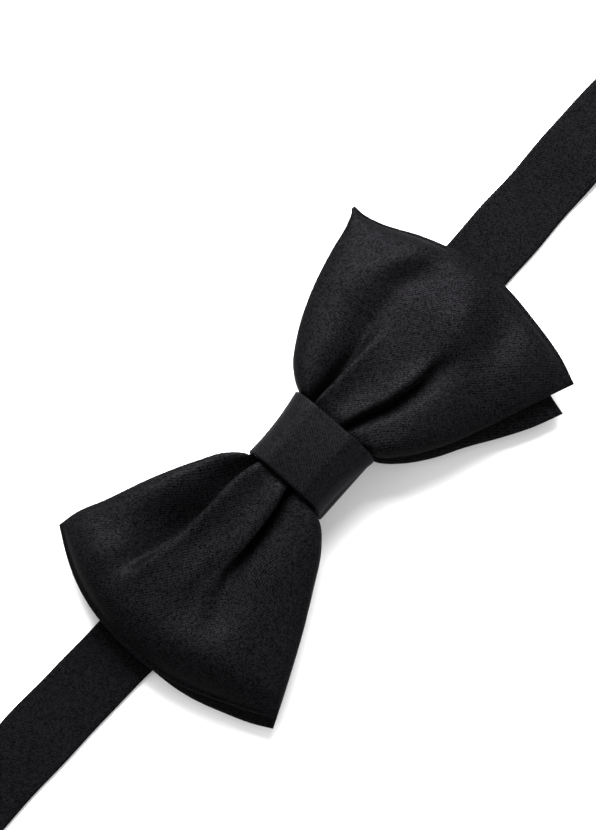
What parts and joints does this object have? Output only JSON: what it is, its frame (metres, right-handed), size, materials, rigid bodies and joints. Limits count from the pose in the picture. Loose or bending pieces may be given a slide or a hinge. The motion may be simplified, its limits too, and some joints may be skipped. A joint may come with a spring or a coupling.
{
  "type": "bow tie",
  "caption": "Pre-tied butterfly bow tie of black satin with a banded knot, a flat neck strap, an adjuster slide and a hook-and-eye closure.",
  "frame": {"origin": "centre of the knot's flat back face, on the surface that the tie lies on", "axes": "+X along the neck strap towards the hook, +Y across the strap towards the bow's upper edge, +Z out of the bow's front"},
  "size_m": [0.4498, 0.073, 0.0178],
  "materials": {
    "satin": "black satin weave with a soft sheen",
    "knot_satin": "black satin, drawn tight round the knot",
    "strap_satin": "black satin, folded and pressed flat",
    "interlining": "undyed woven interlining",
    "thread": "black sewing thread",
    "nickel": "nickel-plated wire and strip"
  },
  "bodies": {
    "bow": {"front_bow": "satin", "front_bow_interlining": "interlining", "back_bow": "satin", "back_bow_interlining": "interlining", "waist_binding": "thread", "knot_band": "knot_satin", "knot_interlining": "interlining", "knot_closing_stitches": "thread"},
    "band": {"strap_center": "strap_satin"},
    "band_left": {"strap_left": "strap_satin", "eye_loop_stitches": "thread"},
    "eye_frame": {"eye": "nickel"},
    "band_right": {"strap_right": "strap_satin"},
    "hook_end": {"strap_hook_run": "strap_satin", "strap_hook_turn": "strap_satin", "strap_return_run": "strap_satin"},
    "adjuster": {"adjuster_slide": "nickel", "strap_slide_wrap": "strap_satin", "slide_wrap_stitches": "thread"},
    "hook_frame": {"hook": "nickel"}
  },
  "joints": [
    {"name": "bow_shift", "type": "slide", "parent": "bow", "child": "band", "axis": [1, 0, 0], "range_m": [-0.02, 0.02]},
    {"name": "left_bend", "type": "hinge", "parent": "band", "child": "band_left", "pos_m": [-0.095, 0.0015, 0.0005], "axis": [0, 1, 0], "range_deg": [-80, 80]},
    {"name": "right_bend", "type": "hinge", "parent": "band", "child": "band_right", "pos_m": [0.095, 0.0015, 0.0005], "axis": [0, 1, 0], "range_deg": [-80, 80]},
    {"name": "eye_swing", "type": "hinge", "parent": "band_left", "child": "eye_frame", "pos_m": [-0.208, 0.0015, 0.0018], "axis": [0, 1, 0], "range_deg": [-60, 60]},
    {"name": "length_adjust", "type": "slide", "parent": "band_right", "child": "hook_end", "axis": [1, 0, 0], "range_m": [-0.02, 0.018], "deforming": ["strap_hook_run"]},
    {"name": "slide_travel", "type": "slide", "parent": "hook_end", "child": "adjuster", "axis": [1, 0, 0], "range_m": [-0.02, 0.018], "deforming": ["strap_return_run"]},
    {"name": "hook_swing", "type": "hinge", "parent": "hook_end", "child": "hook_frame", "pos_m": [0.208, 0.0015, 0.0028], "axis": [0, 1, 0], "range_deg": [-60, 60]}
  ],
  "couplings": [
    {"joint": "slide_travel", "follows": "length_adjust", "ratio": 1}
  ]
}
